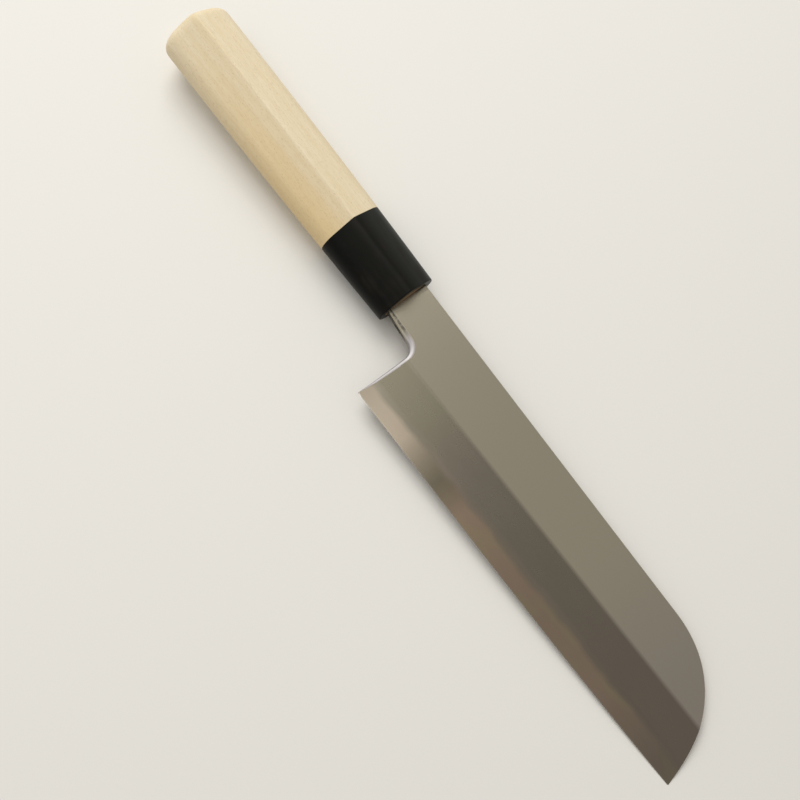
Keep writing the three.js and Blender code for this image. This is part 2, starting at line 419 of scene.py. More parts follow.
@dataclass(frozen=True)
class BladeTone:
    """What both layers share: the ground bevel and the bright eased edges.

    The bevel has hazy iron, a warmer steel band and a soft line between them, with painted light on
    both near the heel and painted shade on the band past the heel and towards the tip.
    """

    # Lighter haze near the heel: painted light.
    heel_haze_painted_light: Colour = srgb(0x827C6B)
    haze: Colour = srgb(0x7F776A)
    tip_haze: Colour = srgb(0x7F7469)
    heel_seam: Colour = srgb(0x867F70)
    seam: Colour = srgb(0x8C8173)
    heel: Colour = srgb(0x8A8172)
    # Painted highlight on the band near the heel.
    glint: Colour = srgb(0xAEA18E)
    # Painted shade where the painted highlight ends, and again towards the tip.
    painted_shade_tone: Colour = srgb(0x847B69)
    golden: Colour = srgb(0xAB9A7F)
    worn: Colour = srgb(0x9D8E77)
    eased: Colour = srgb(0xA6A2A1)
    rosy: Colour = (1.0, 0.94, 1.03, 1.0)
    haze_roughness: float = 0.27
    band_roughness: float = 0.17
    eased_roughness: float = 0.5
    haze_width: float = 2.3
    tip_haze_width: float = 1.5
    band_width: float = 2.7
    drift: float = 2.4
    cloudiness: float = 0.05
    cloud_pitch: Triple = (15.0, 5.0, 5.0)
    bloom_pitch: Triple = (19.0, 9.0, 9.0)
    bloom_level: Span = (0.38, 0.62)
    haze_along: Span = (36.0, 62.0)
    seam_fade: Span = (110.0, 172.0)
    heel_end: float = 16.0
    glint_end: float = 41.0
    painted_shade_place: float = 61.0
    bloom_start: float = 76.0
    bloom_end: float = 122.0
    tip_start: float = 154.0
    tip_end: float = 188.0

    def paint(self, s: Surface) -> tuple[Wire, Wire]:
        """Lays the bevel's tones by the distance from the line where the layers meet.

        Args:
            s: the finish to add them to.

        Returns:
            The colour and the roughness.
        """
        cloud = s.noise(self.cloud_pitch, detail=3.0).swing()
        along = s.axis(Axis.ALONG)
        above = s.mark(Mark.ABOVE_WELD) + cloud * self.drift
        toward_tip = along.rise(*self.seam_fade)
        off_heel = along.rise(*self.haze_along)
        off_band = above.rise(-self.band_width, 0.0)
        on_haze = above.rise(0.0, toward_tip.blend(self.haze_width, self.tip_haze_width))
        # The haze is lighter near the heel: painted light.
        haze = s.mix(off_heel, self.heel_haze_painted_light, s.mix(toward_tip, self.haze, self.tip_haze))
        seam = s.mix(off_heel, self.heel_seam, s.mix(toward_tip, self.seam, self.tip_haze))
        colour = s.mix(on_haze, s.mix(off_band, self._band(s), seam), haze)
        roughness = ((off_band + on_haze) / 2).blend(self.band_roughness, self.haze_roughness)
        return colour, roughness + cloud * self.cloudiness

    def _band(self, s: Surface) -> Wire:
        """Lays the steel band's tones from heel to tip, with rosy blooms past the heel, and painted
        light: a painted highlight from the heel up to the glint, then painted shade after it and
        towards the tip.

        Args:
            s: the finish to add them to.

        Returns:
            The colour.
        """
        # From the heel the band rises to a painted highlight at the glint, falls to painted shade, and
        # darkens with painted shade again towards the tip.
        tones = (
            (self.heel_end, self.heel),
            (self.glint_end, self.glint),
            (self.painted_shade_place, self.painted_shade_tone),
            (self.bloom_start, self.golden),
            (self.bloom_end, self.worn),
            (self.tip_start, self.worn),
            (self.tip_end, self.painted_shade_tone),
        )
        stops = [(place / self.tip_end, tone) for place, tone in tones]
        along = s.axis(Axis.ALONG)
        share = {"Fac": along / self.tip_end}
        band = s.node("ShaderNodeValToRGB", {"stops": stops}, share, output="Color")
        past_heel = along.rise(self.painted_shade_place, self.bloom_start)
        bloom = s.noise(self.bloom_pitch).rise(*self.bloom_level) * past_heel
        return s.mix(bloom, band, s.mix(1.0, band, self.rosy, Lay.TINT))

    def ease(self, s: Surface, colour: Wire, roughness: Wire) -> tuple[Wire, Wire]:
        """Lays the bright eased edge of the neck and the choil over a layer.

        Args:
            s: the layer's finish.
            colour: its colour.
            roughness: its roughness.

        Returns:
            The colour and the roughness with the eased edge.
        """
        polish = s.mark(Mark.POLISH)
        bright = s.mix(polish, colour, self.eased)
        return bright, polish.blend(roughness, self.eased_roughness)


@dataclass(frozen=True)
class SoftIronFinish:
    """Soft iron: satin on the flat, hazy on the bevel, with scale on the tang and under the neck. The
    neck's eased edge is partly scale and partly painted shade, and painted shade darkens the flat
    towards the tip.
    """

    tone: BladeTone = BladeTone()
    flat: Colour = srgb(0xB7AF9B)
    # The flat's tone towards the tip: painted shade.
    far_flat_painted_shade: Colour = srgb(0xAAA195)
    scale: Colour = srgb(0x3A3632)
    scuffed: Colour = srgb(0x8A857C)
    flat_roughness: float = 0.25
    scale_roughness: float = 0.62
    far_along: Span = (110.0, 185.0)
    tang_along: Span = (0.0, -3.0)
    scaled_along: Span = (15.0, 9.0)
    scaled_across: Span = (0.0, -6.0)
    # How dark the neck's eased edge goes: partly scale, partly painted shade.
    scuff_and_shade_share: float = 0.8
    scuff_level: Span = (0.5, 0.68)
    line_pitch: Triple = (18.0, 0.3, 0.3)
    stroke_pitch: Triple = (0.4, 9.0, 9.0)
    stroke_turn: float = math.radians(22)
    scale_pitch: Triple = (1.1, 1.1, 1.1)
    line_depth: float = 0.00015
    pit_depth: float = 40.0
    tint: float = 0.03
    sheen: float = 0.012

    def material(self, layout: Layout) -> bpy.types.Material:
        """Makes the shader.

        Args:
            layout: where the layout lies in the frame.

        Returns:
            The material.
        """
        s = Surface(Slot.IRON.value, layout)
        bevel = s.mark(Mark.BEVEL)
        along = s.axis(Axis.ALONG)
        tang = along.rise(*self.tang_along)
        edge_side = s.mark(Mark.WALL) * s.axis(Axis.ACROSS).rise(*self.scaled_across)
        under_neck = along.rise(*self.scaled_along) * edge_side
        # Scale on the tang and under the neck; on the neck's eased edge partly scale and partly painted
        # shade.
        scale_and_shade = tang.at_least(under_neck).at_least(s.mark(Mark.SCUFF_AND_SHADE) * self.scuff_and_shade_share)
        lines = s.noise(self.line_pitch, detail=4.0)
        strokes = s.noise(self.stroke_pitch, self.stroke_turn, detail=3.0)
        pits = s.noise(self.scale_pitch, detail=5.0)
        grain = bevel.blend(lines, strokes)
        tone, haze = self.tone.paint(s)
        # The flat is darker towards the tip: painted shade.
        flat = s.mix(along.rise(*self.far_along), self.flat, self.far_flat_painted_shade)
        ground = s.mix(bevel, flat, tone)
        shaded = s.shade(grain.swing() * self.tint, ground, self.scuffed, self.scale)
        satin = bevel.blend(self.flat_roughness, haze) + grain.swing() * self.sheen
        eased, bright = self.tone.ease(s, shaded, satin)
        scale_and_shade_colour = s.mix(pits.rise(*self.scuff_level), self.scale, self.scuffed)
        height = scale_and_shade.blend(grain, pits * self.pit_depth)
        return s.finish({
            "Base Color": s.mix(scale_and_shade, eased, scale_and_shade_colour),
            "Metallic": 1.0,
            "Roughness": scale_and_shade.blend(bright, self.scale_roughness),
            "Normal": s.bump(height, self.line_depth),
        })


@dataclass(frozen=True)
class EdgeSteelFinish:
    """Hard steel: stone-polished band along the edge, bright rim and ground hollow on the back."""

    tone: BladeTone = BladeTone()
    honed: Colour = srgb(0xB4AFA5)
    rim: Colour = srgb(0xC9C4BA)
    hollow: Colour = srgb(0xA9A294)
    shadow: Colour = srgb(0x6E6659)
    rim_roughness: float = 0.14
    hollow_roughness: float = 0.3
    honed_width: float = 0.5
    honed_share: float = 0.3
    line_pitch: Triple = (18.0, 0.3, 0.3)
    wheel_pitch: Triple = (0.45, 30.0, 30.0)
    line_depth: float = 0.00015
    tint: float = 0.08

    def material(self, layout: Layout) -> bpy.types.Material:
        """Makes the shader.

        Args:
            layout: where the layout lies in the frame.

        Returns:
            The material.
        """
        s = Surface(Slot.STEEL.value, layout)
        back = s.mark(Mark.BACK)
        hollow = s.mark(Mark.HOLLOW)
        honed = s.mark(Mark.ABOVE_EDGE).rise(self.honed_width, 0.0) * (1 - back)
        lines = s.noise(self.line_pitch, detail=4.0)
        wheel = s.noise(self.wheel_pitch, detail=3.0)
        grain = hollow.blend(lines, wheel)
        tone, haze = self.tone.paint(s)
        side = s.mix(back, tone, s.mix(hollow, self.rim, self.hollow))
        shaded = s.shade(grain.swing() * self.tint, side, self.rim, self.shadow)
        edged = s.mix(honed * self.honed_share, shaded, self.honed)
        rear = hollow.blend(self.rim_roughness, self.hollow_roughness)
        colour, roughness = self.tone.ease(s, edged, back.blend(haze, rear))
        return s.finish({
            "Base Color": colour,
            "Metallic": 1.0,
            "Roughness": roughness,
            "Normal": s.bump(grain, self.line_depth),
        })


@dataclass(frozen=True)
class MagnoliaFinish:
    """Bare magnolia: pale straight grain, short pores, an amber side and a scorched tenon end."""

    pale: Colour = srgb(0xE4D6B9)
    warm: Colour = srgb(0xDFCEAB)
    late: Colour = srgb(0xC9AE80)
    pore: Colour = srgb(0xA58A60)
    amber: Colour = srgb(0xDAC191)
    scorched: Colour = srgb(0x7E6246)
    roughness: float = 0.58
    specular: float = 0.32
    heart: Span = (-34.0, -62.0)
    ring_width: float = 3.1
    ring_wander: float = 3.4
    ring_sharpness: float = 3.0
    ring_share: float = 0.08
    ring_dip: float = 0.2
    wander_pitch: Triple = (130.0, 16.0, 16.0)
    streak_pitch: Triple = (80.0, 3.2, 3.2)
    streak_level: Span = (0.3, 0.72)
    fibre_pitch: Triple = (5.0, 0.34, 0.34)
    fibre_level: float = 0.42
    fibre_roughness: float = 0.16
    fibre_depth: float = 0.01
    pore_pitch: Triple = (1.1, 0.3, 0.3)
    pore_level: Span = (0.58, 0.74)
    pore_share: float = 0.3
    pore_roughness: float = 0.12
    pore_dip: float = 0.8
    amber_along: Span = (-150.0, -36.0)
    amber_across: Span = (2.0, -9.0)
    amber_share: float = 0.9
    scorch_along: Span = (-2.2, -1.2)

    def material(self, layout: Layout) -> bpy.types.Material:
        """Makes the shader.

        Args:
            layout: where the layout lies in the frame.

        Returns:
            The material.
        """
        s = Surface(Slot.WOOD.value, layout)
        along, across = s.axis(Axis.ALONG), s.axis(Axis.ACROSS)
        aside = across - self.heart[0]
        over = s.axis(Axis.UP) - self.heart[1]
        wander = s.noise(self.wander_pitch, detail=3.0) * self.ring_wander
        radius = (aside * aside + over * over).root() + wander
        wave = ((radius * (2 * math.pi / self.ring_width)).sine() + 1) / 2
        ring = wave ** self.ring_sharpness
        streak = s.noise(self.streak_pitch, detail=3.0).rise(*self.streak_level)
        fibre = s.noise(self.fibre_pitch, detail=3.0)
        pores = s.noise(self.pore_pitch, detail=1.0).rise(*self.pore_level)
        amber = along.rise(*self.amber_along) * across.rise(*self.amber_across)
        sapwood = s.mix(streak, self.pale, self.warm)
        board = s.mix(amber * self.amber_share, sapwood, self.amber)
        ringed = s.mix(ring * self.ring_share, board, self.late)
        fibrous = s.mix((fibre - self.fibre_level).at_least(0.0), ringed, self.late)
        porous = s.mix(pores * self.pore_share, fibrous, self.pore)
        uneven = fibre.swing() * self.fibre_roughness + pores * self.pore_roughness
        height = fibre - pores * self.pore_dip - ring * self.ring_dip
        return s.finish({
            "Base Color": s.mix(along.rise(*self.scorch_along), porous, self.scorched),
            "Roughness": self.roughness + uneven,
            "Specular IOR Level": self.specular,
            "Normal": s.bump(height, self.fibre_depth),
        })


@dataclass(frozen=True)
class HornFinish:
    """Polished black horn with faint brown layers and polishing lines; painted shade darkens the edge
    side and a painted sheen lightens the spine side.
    """

    black: Colour = srgb(0x151511)
    # Painted shade on the edge side.
    edge_side: Colour = srgb(0x0B0B08)
    # Painted sheen towards the spine.
    painted_sheen: Colour = srgb(0x292A26)
    layer: Colour = srgb(0x211D17)
    roughness: float = 0.4
    mottle_roughness: float = 0.14
    line_roughness: float = 0.05
    specular: float = 0.1
    painted_shade_across: Span = (0.0, -12.0)
    painted_sheen_across: Span = (1.0, 9.5)
    layer_pitch: Triple = (42.0, 2.4, 2.4)
    layer_level: Span = (0.2067, 0.4167)
    layer_share: float = 0.6
    mottle_pitch: Triple = (9.0, 5.0, 5.0)
    line_pitch: Triple = (0.25, 9.0, 9.0)
    line_depth: float = 0.0012

    def material(self, layout: Layout) -> bpy.types.Material:
        """Makes the shader.

        Args:
            layout: where the layout lies in the frame.

        Returns:
            The material.
        """
        s = Surface(Slot.HORN.value, layout)
        across = s.axis(Axis.ACROSS)
        layers = s.noise(self.layer_pitch, detail=4.0)
        mottle = s.noise(self.mottle_pitch, detail=3.0)
        lines = s.noise(self.line_pitch, detail=3.0)
        # Painted shade towards the edge side, then a painted sheen towards the spine.
        dark = s.mix(across.rise(*self.painted_shade_across), self.black, self.edge_side)
        ground = s.mix(across.rise(*self.painted_sheen_across), dark, self.painted_sheen)
        layered = (layers * mottle).rise(*self.layer_level) * self.layer_share
        uneven = mottle.swing() * self.mottle_roughness + lines.swing() * self.line_roughness
        return s.finish({
            "Base Color": s.mix(layered, ground, self.layer),
            "Roughness": self.roughness + uneven,
            "Specular IOR Level": self.specular,
            "Normal": s.bump(lines, self.line_depth),
        })


def add_object(name: str, data: bpy.types.ID) -> bpy.types.Object:
    """Puts a mesh, a lamp or a camera into the scene.

    Args:
        name: the object's name.
        data: what it holds.

    Returns:
        The object.
    """
    added = bpy.data.objects.new(name, data)
    bpy.context.scene.collection.objects.link(added)
    return added


def install(name: str, mesh: bpy.types.Mesh, node: Node) -> None:
    """Puts a finished mesh in the scene in place of a node.

    Args:
        name: the piece's name.
        mesh: its mesh, in the frame's metres.
        node: the node that it stands for.
    """
    mesh.name = name
    piece = add_object(name, mesh)
    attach(piece, BODY)
    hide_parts(node.value)
    LOG.info("%s stands for %s with %d faces", name, node.value, len(mesh.polygons))


def bezier(controls: Sequence[Sequence[float]], count: int) -> np.ndarray:
    """Points along a Bezier curve of any degree, without its end.

    Args:
        controls: its control points.
        count: number of points.

    Returns:
        The points, one row each.
    """
    share = np.arange(count)[:, None] / count
    row = [np.array(control, float)[None, :] * np.ones_like(share) for control in controls]
    while len(row) > 1:
        row = [a * (1 - share) + b * share for a, b in zip(row, row[1:])]
    return row[0]


def straight(start: Sequence[float], end: Sequence[float], step: float) -> np.ndarray:
    """Points along a line, without its end, no further apart than the step."""
    return bezier((start, end), max(1, math.ceil(math.dist(start, end) / step)))


@dataclass(frozen=True)
class Plan:
    """The blade seen from above, cut into triangles along rows."""

    points: np.ndarray
    triangles: np.ndarray

    @classmethod
    def from_rows(cls, outline: np.ndarray, rows: Sequence[np.ndarray]) -> "Plan":
        """Fills the outline with triangles whose sides follow the rows.

        Args:
            outline: closed loop of points, anticlockwise.
            rows: open polylines, which may cross each other and the outline.

        Returns:
            The plan.
        """
        merge_distance = 1e-4
        triangles_inside = 1
        points = [Vector(p) for p in outline]
        count = len(points)
        edges = [(k, (k + 1) % count) for k in range(count)]
        for row in rows:
            start = len(points)
            points.extend(Vector(p) for p in row)
            edges.extend((k, k + 1) for k in range(start, len(points) - 1))
        filled = delaunay_2d_cdt(points, edges, [], triangles_inside, merge_distance)
        whole = cls(np.array([tuple(p) for p in filled[0]]), np.array(filled[2]))
        return cls(whole.points, whole.triangles[cls._inside(whole.centres(), outline)])

    def centres(self) -> np.ndarray:
        """The middle of each triangle."""
        return self.points[self.triangles].mean(axis=1)

    @staticmethod
    def _inside(points: np.ndarray, loop: np.ndarray) -> np.ndarray:
        """Tells which points lie inside a closed loop.

        Args:
            points: the points to test.
            loop: the loop's corners in order.

        Returns:
            True or false for each point.
        """
        x, y = points.T
        inside = np.zeros(len(points), bool)
        for (ax, ay), (bx, by) in zip(loop, np.roll(loop, -1, axis=0)):
            if ay == by:
                continue
            crosses = (ay > y) != (by > y)
            inside ^= crosses & (x < ax + (y - ay) * (bx - ax) / (by - ay))
        return inside

    def cut_at_zero(self, value: np.ndarray, snap: float) -> tuple["Plan", np.ndarray]:
        """Splits the triangles that a value changes sign in.

        Args:
            value: one number for each point.
            snap: values nearer to zero than this count as zero.

        Returns:
            The new plan, and which of its points lie on the zero line.
        """
        value = np.where(np.abs(value) < snap, 0.0, value)
        points = list(self.points)
        zero = list(value == 0.0)
        cuts: dict[tuple[int, int], int] = {}

        def cut(a: int, b: int) -> int:
            """Finds where the value is zero on a triangle's side.

            Args:
                a: number of the point at one end.
                b: number of the point at the other end.

            Returns:
                The number of the point there.
            """
            key = (min(a, b), max(a, b))
            if key not in cuts:
                share = value[a] / (value[a] - value[b])
                cuts[key] = len(points)
                points.append(self.points[a] * (1 - share) + self.points[b] * share)
                zero.append(True)
            return cuts[key]

        triangles: list[tuple[int, int, int]] = []
        for corners in self.triangles:
            loop: list[int] = []
            for a, b in zip(corners, np.roll(corners, -1)):
                loop.append(int(a))
                if value[a] * value[b] < 0:
                    loop.append(cut(int(a), int(b)))
            first = next((k for k, c in enumerate(loop) if c >= len(value)), 0)
            loop = loop[first:] + loop[:first]
            triangles.extend((loop[0], b, c) for b, c in zip(loop[1:], loop[2:]))
        return Plan(np.array(points), np.array(triangles)), np.array(zero)


class Bottom(NamedTuple):
    """One of the lower surfaces of a shell."""

    members: np.ndarray
    heights: np.ndarray
    patch: np.ndarray


@dataclass
class Shell:
    """A closed body between two height fields over a plan."""

    plan: Plan
    keep: np.ndarray
    top: np.ndarray
    top_patch: np.ndarray
    bottoms: Sequence[Bottom]
    thinnest: float = 1e-5
    crease: float = math.radians(40)

    def mesh(self, name: str, layout: Layout, marks: dict[Mark, np.ndarray]) -> bpy.types.Mesh:
        """Makes the mesh, with smooth faces and sharp edges between patches.

        Args:
            name: the mesh's name.
            layout: where the layout lies in the frame.
            marks: numbers for the plan's points, kept on the mesh for its shader.

        Returns:
            The mesh, in frame metres.
        """
        self._sources: list[int] = []
        self._heights: list[float] = []
        faces, patches = self._faces()
        source = np.array(self._sources)
        points = np.column_stack((self.plan.points[source], self._heights))
        mesh = bpy.data.meshes.new(name)
        mesh.from_pydata(layout.to_frame(points).tolist(), [], faces)
        mesh.shade_smooth()
        for mark, values in marks.items():
            kept = mesh.attributes.new(mark.value, "FLOAT", "POINT")
            kept.data.foreach_set("value", values[source].astype(np.float32))
        self._mark_faces(mesh, np.array(patches))
        return mesh

    def _add(self, plan_point: int, height: float) -> int:
        """Adds a vertex.

        Args:
            plan_point: the plan's point that it lies over.
            height: how high.

        Returns:
            Its number.
        """
        self._sources.append(plan_point)
        self._heights.append(height)
        return len(self._sources) - 1

    def _faces(self) -> tuple[list[tuple[int, ...]], list[int]]:
        """Lists the faces above, below and round the plan.

        Returns:
            The faces and the patch of each.
        """
        triangles = self.plan.triangles
        layer_of = np.full(len(triangles), -1)
        for layer, bottom in enumerate(self.bottoms):
            layer_of[bottom.members & self.keep] = layer
        used = np.unique(triangles[self.keep])
        top = {int(p): self._add(int(p), self.top[p]) for p in used}
        lower: list[dict[int, int]] = []
        for layer, bottom in enumerate(self.bottoms):
            used = np.unique(triangles[layer_of == layer])
            thin = np.abs(self.top - bottom.heights) < self.thinnest
            lower.append({
                int(p): top[int(p)] if thin[p] else self._add(int(p), bottom.heights[p]) for p in used
            })
        faces: list[tuple[int, ...]] = []
        patches: list[int] = []
        sides: dict[tuple[int, int], int] = {}
        for number in np.flatnonzero(self.keep):
            a, b, c = (int(p) for p in triangles[number])
            layer = int(layer_of[number])
            under = lower[layer]
            faces += [(top[a], top[b], top[c]), (under[c], under[b], under[a])]
            patches += [int(self.top_patch[number]), int(self.bottoms[layer].patch[number])]
            for side in ((a, b), (b, c), (c, a)):
                sides[side] = layer
        for (a, b), layer in sides.items():
            beside = sides.get((b, a))
            under = lower[layer]
            if beside is None:
                wall = (top[b], top[a], under[a], under[b])
            elif beside > layer:
                wall = (under[a], under[b], lower[beside][b], lower[beside][a])
            else:
                continue
            corners = tuple(dict.fromkeys(wall))
            if len(corners) > 2:
                faces.append(corners)
                patches.append(int(Patch.WALL))
        return faces, patches

    def _mark_faces(self, mesh: bpy.types.Mesh, patches: np.ndarray) -> None:
        """Keeps what each face is part of, and sharpens the edges between patches.

        Args:
            mesh: the finished mesh.
            patches: the patch of each face.
        """
        back = np.isin(patches, (Patch.BACK, Patch.HOLLOW))
        hollow = patches == Patch.HOLLOW
        wall = patches == Patch.WALL
        for mark, members in ((Mark.BACK, back), (Mark.HOLLOW, hollow), (Mark.WALL, wall)):
            kept = mesh.attributes.new(mark.value, "FLOAT", "FACE")
            kept.data.foreach_set("value", members.astype(np.float32))
        bm = bmesh.new()
        bm.from_mesh(mesh)
        for edge in bm.edges:
            pair = [patches[face.index] for face in edge.link_faces]
            differ = len(pair) == 2 and pair[0] != pair[1] and Patch.WALL not in pair
            edge.smooth = not (differ or edge.calc_face_angle(math.pi) > self.crease)
        bm.to_mesh(mesh)
        bm.free()


class Run(NamedTuple):
    """A stretch of the blade's outline, and how far its face is eased at its start and end."""

    points: np.ndarray
    start: float = 0.0
    end: float = 0.0


@dataclass
class Blade:
    """The laminated blade: soft iron on the face, hard steel along the edge and over the back."""

    layout: Layout
    edge_length: float = 180.0
    heel_drop: float = 36.2
    edge_straight: float = 62.0
    tip_rise: float = 1.8
    tip_round: float = 0.5
    spine_rise: float = 8.85
    spine_fall: float = 1.95
    sickle_length: float = 44.8
    sickle_top_pull: float = 27.0
    sickle_tip_pull: float = 22.5
    sickle_tip_lean: float = math.radians(13.5)
    thickness: float = 4.2
    bevel_width: float = 21.2
    ridge_round: float = 0.13
    steel_thickness: float = 1.4
    edge_thickness: float = 0.03
    hollow_rim: float = 2.5
    hollow_wheel_radius: float = 420.0
    hollow_run_in: float = 16.0
    neck_length: float = 17.2
    neck_drop: float = 8.85
    neck_flare: float = 1.5
    choil_radius: float = 4.7
    choil_bow: float = 0.6
    weld_start: float = 9.0
    weld_waves: tuple[Triple, ...] = ((0.34, 41.0, 0.6), (0.22, 17.0, 1.9), (0.11, 7.3, 2.2))
    seam_low: float = 0.4
    seam_high: float = 1.2
    taper_start: float = 3.0
    tang_length: float = 88.0
    tang_end_height: float = 7.0
    tang_end_thickness: float = 2.4
    neck_easing: float = 0.9
    choil_easing: float = 1.75
    choil_end_easing: float = 1.15
    heel_easing: float = 0.5
    spine_easing: float = 0.25
    back_easing_share: float = 0.36
    least_easing: float = 0.03
    most_eased: float = 0.48
    rim_radius: float = 0.35
    chamfer_slope: float = math.tan(math.radians(20))
    chamfer_blend: float = 0.3
    bevel_blend: float = 1.6
    polish_fade: Span = (1.15, 1.4)
    # Shares of the easing over which scale and painted shade come in on the neck's eased edge, leaving
    # its outer rim bare.
    scale_and_shade_reach: Span = (0.2, 0.6)
    polished_along: Span = (8.5, 14.0)
    polish_past_heel: float = 1.8
    fine_step: float = 0.6
    weld_step: float = 1.0
    coarse_step: float = 2.5
    tang_step: float = 8.0
    tip_points: int = 6
    sickle_points: int = 112
    choil_points: int = 24
    heel_points: int = 40
    hollow_points: int = 200
    hollow_columns: int = 90
    hollow_rows: int = 13
    row_overrun: float = 1.0
    easing_rows: tuple[float, ...] = (0.02, 0.06, 0.12, 0.2, 0.4, 0.7, 0.85, 1.0, 1.15, 1.4)
    ridge_rows: tuple[float, ...] = (-0.8, -0.55, -0.28, 0.0, 0.28, 0.55, 0.8)
    weld_snap: float = 2e-3
    nearly_none: float = 1e-3

    def __post_init__(self) -> None:
        """Works out the corners of the outline."""
        self.heel = np.array((self.neck_length, -self.heel_drop))
        self.tip = self.heel + (self.edge_length, self.tip_rise)
        self.back = -self.thickness / 2
        lean = np.array((-math.sin(self.sickle_tip_lean), math.cos(self.sickle_tip_lean)))
        top_x = self.tip[0] - self.sickle_length
        pull_x = top_x + self.sickle_top_pull
        self.sickle = (
            self.tip + lean * self.tip_round,
            self.tip + lean * self.sickle_tip_pull,
            np.array((pull_x, self.spine_at(pull_x))),
            np.array((top_x, self.spine_at(top_x))),
        )

    def spine_at(self, x: Any) -> Any:
        """Height of the straight spine at X."""
        return self.spine_rise - self.spine_fall * x / (self.tip[0] - self.sickle_length)

    def edge_at(self, x: Any) -> Any:
        """Height of the cutting edge: straight from the heel, then a slow rise to the tip.

        Args:
            x: place or places along the blade.

        Returns:
            The height at each.
        """
        start = self.heel[0] + self.edge_straight
        share = np.clip((x - start) / (self.tip[0] - start), 0.0, 1.0)
        return self.heel[1] + self.tip_rise * share ** 2

    def ridge_at(self, x: Any) -> Any:
        """Height of the bevel's ridge line at X."""
        slope = self.tip_rise / self.edge_length
        return self.heel[1] + self.bevel_width + slope * (x - self.heel[0])

    def taper_at(self, x: Any) -> Any:
        """How much each side of the tang is thinned at X."""
        fall = (self.thickness - self.tang_end_thickness) / 2
        return np.clip(self.taper_start - x, 0.0, None) * fall / (self.tang_length + self.taper_start)

    def weld_at(self, x: Any) -> Any:
        """Height of the weld between iron and steel, which wavers as forged layers do.

        Args:
            x: place or places along the blade.

        Returns:
            The height at each.
        """
        share = (x - self.heel[0]) / self.edge_length
        drift = self.seam_low + (self.seam_high - self.seam_low) * share
        ripple = sum(
            size * np.sin(2 * math.pi * x / length + turn) for size, length, turn in self.weld_waves
        )
        rise_per_length = self.thickness / self.bevel_width
        return self.back + self.steel_thickness + (drift + ripple) * rise_per_length

    def seam_at(self, x: Any) -> Any:
        """Height of the line where the weld comes out on the bevel.

        Args:
            x: place or places along the blade.

        Returns:
            The height at each.
        """
        above_edge = self.weld_at(x) - self.back - self.edge_thickness
        share = above_edge / (self.thickness - self.edge_thickness)
        return self.edge_at(x) + share * (self.ridge_at(x) - self.edge_at(x))

    def face(self, x: Any, y: Any) -> Any:
        """Height of the face before its edges are eased: flat, bevel and rounded ridge.

        Args:
            x: place or places along the blade.
            y: the same across it.

        Returns:
            The height at each.
        """
        flat = self.thickness / 2 - self.taper_at(x)
        share = (y - self.edge_at(x)) / (self.ridge_at(x) - self.edge_at(x))
        edge = self.back + self.edge_thickness
        bevel = edge + (self.thickness - self.edge_thickness) * share
        blend = np.clip(1 - np.abs(flat - bevel) / self.ridge_round, 0.0, None)
        return np.minimum(flat, bevel) - blend ** 2 * self.ridge_round / 4

    def hollow(self, x: np.ndarray, y: np.ndarray) -> np.ndarray:
        """Depth of the hollow of the back, cut by one large wheel.

        Args:
            x: places along the blade.
            y: places across it.

        Returns:
            The depth, zero on the rim.
        """
        low, high = self.hollow_sides(x)
        half = np.clip((high - low) / 2, self.nearly_none, None)
        across = np.clip((y - low) / half - 1, -1.0, 1.0)
        radius = self.hollow_wheel_radius
        depth = radius - np.sqrt(radius ** 2 - half ** 2)
        start, end = self.hollow_ends()
        run = np.clip((x - start) / self.hollow_run_in, 0.0, 1.0)
        inside = (x > start) & (x < end) & (high > low)
        return np.where(inside, depth * run * run * (3 - 2 * run) * (1 - across ** 2), 0.0)

    def in_hollow(self, x: np.ndarray, y: np.ndarray) -> np.ndarray:
        """Tells which places lie between the hollow's ends and sides.

        Args:
            x: places along the blade.
            y: places across it.

        Returns:
            True or false for each place.
        """
        start, end = self.hollow_ends()
        low, high = self.hollow_sides(x)
        return (x > start) & (x < end) & (y > low) & (y < high)

    def hollow_ends(self) -> Span:
        """Where the hollow begins and ends along the blade."""
        start = self.heel[0] + self.choil_bow + self.hollow_rim
        return start, self.tip[0] - 2 * self.hollow_rim

    def hollow_sides(self, x: np.ndarray) -> tuple[np.ndarray, np.ndarray]:
        """Lower and upper side of the hollow.

        Args:
            x: places along the blade.

        Returns:
            The two heights at each place.
        """
        curve_x, curve_y = bezier(self.sickle, self.hollow_points)[::-1].T
        ahead = x + self.hollow_rim
        curved = np.interp(ahead, curve_x, curve_y)
        top = np.where(ahead < curve_x[0], self.spine_at(ahead), curved)
        return self.edge_at(x) + self.hollow_rim, top - self.hollow_rim

